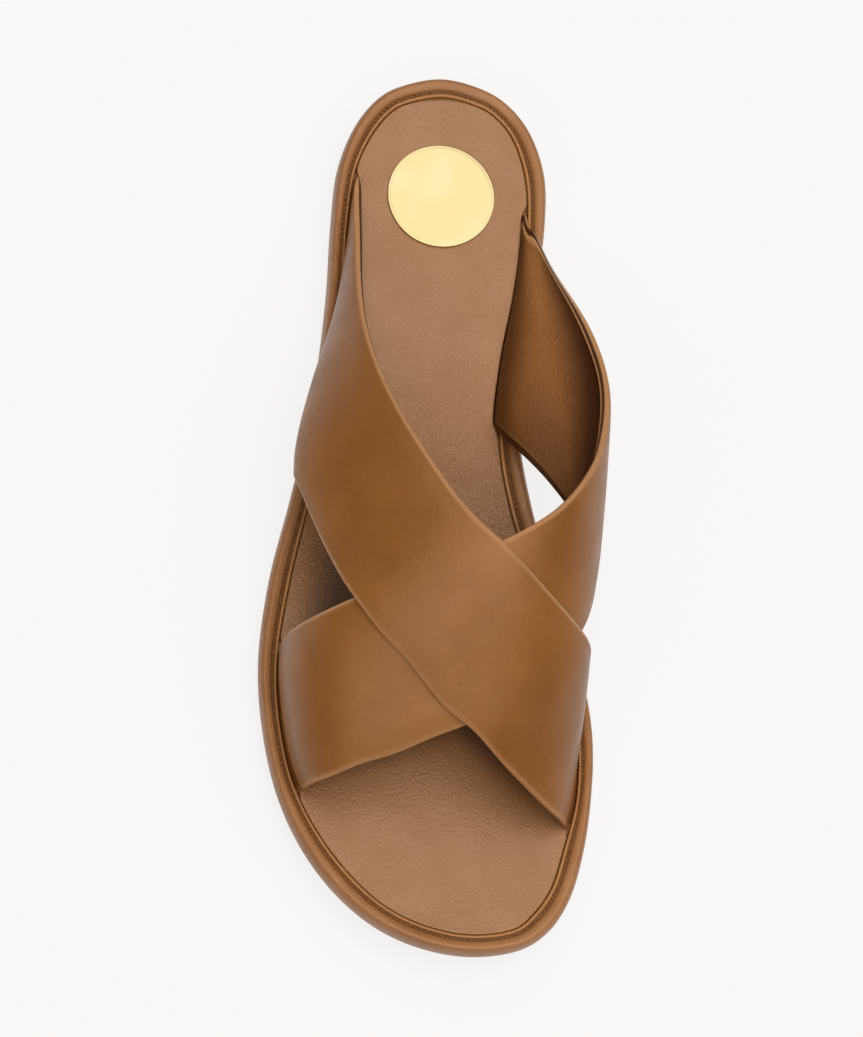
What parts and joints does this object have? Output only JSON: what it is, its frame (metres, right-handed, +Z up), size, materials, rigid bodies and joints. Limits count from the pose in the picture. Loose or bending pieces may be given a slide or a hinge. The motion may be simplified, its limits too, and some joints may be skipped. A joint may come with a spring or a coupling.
{
  "type": "slide sandal",
  "caption": "Open leather slide for the right foot: two wide straps cross over the instep and stand in the rolled rim of a flat footbed, with a plain round metal disc on the heel.",
  "frame": {"origin": "on the floor under the middle of the whole shoe, the middle of its length and width", "axes": "+Z up, -Y towards the toe, +Y towards the heel, +X towards the big toe side"},
  "size_m": [0.0952, 0.258, 0.0645],
  "materials": {
    "outsole": "matt brown rubber with a fine tread",
    "rim_leather": "smooth tan leather, semi-gloss, sewn along a channel",
    "insole_leather": "tan leather with a fine pebble grain, matt",
    "strap_leather": "smooth tan leather, semi-gloss",
    "gold": "polished pale gold"
  },
  "bodies": {
    "root": {"outsole": "outsole", "footbed": "rim_leather", "insole": "insole_leather", "upper": "strap_leather", "heel_disc": "gold"}
  },
  "joints": []
}
